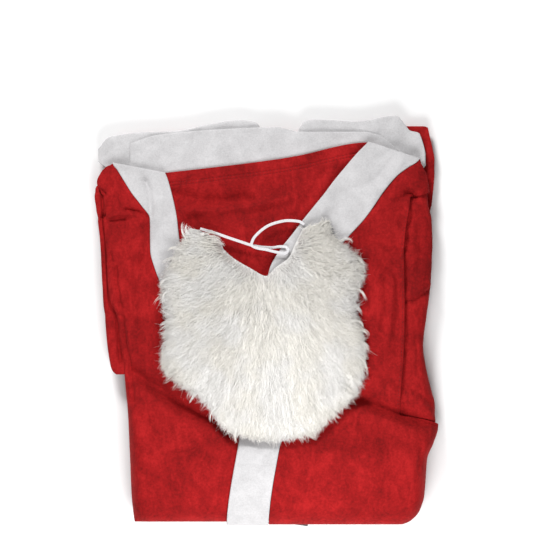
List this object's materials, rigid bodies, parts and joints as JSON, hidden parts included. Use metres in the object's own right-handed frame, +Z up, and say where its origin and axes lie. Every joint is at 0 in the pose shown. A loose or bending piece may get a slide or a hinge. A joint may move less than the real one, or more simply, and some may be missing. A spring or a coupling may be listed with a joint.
{
  "type": "folded santa suit",
  "caption": "Folded costume suit: red jacket with white trims face up on folded trousers, a long-fur beard with elastic on top and a black belt edge at the fold.",
  "frame": {"origin": "centre of the box at the surface that the suit lies on", "axes": "+Y towards the neck end, +Z up out of the jacket's front, +X towards the picture's right"},
  "size_m": [0.3455, 0.4127, 0.0548],
  "materials": {
    "red_cloth": "brushed polyester cloth with a short nap",
    "white_trim": "soft white felted plush",
    "beard_backing": "knitted backing cloth",
    "beard_fur": "long, wavy synthetic fur",
    "elastic": "flat woven elastic",
    "belt": "black coated felt"
  },
  "bodies": {
    "root": {"folded_layers": "red_cloth", "jacket_back": "red_cloth", "jacket_front_left": "red_cloth", "jacket_front_right": "red_cloth", "jacket_sleeve_left": "red_cloth", "jacket_sleeve_right": "red_cloth", "jacket_trim_left": "white_trim", "jacket_trim_right": "white_trim", "jacket_neck_trim": "white_trim", "trouser_cuff_left": "white_trim", "trouser_cuff_right": "white_trim", "trouser_leg": "red_cloth", "beard_backing": "beard_backing", "beard_fur": "beard_fur", "beard_elastic": "elastic", "belt": "belt"}
  },
  "joints": []
}
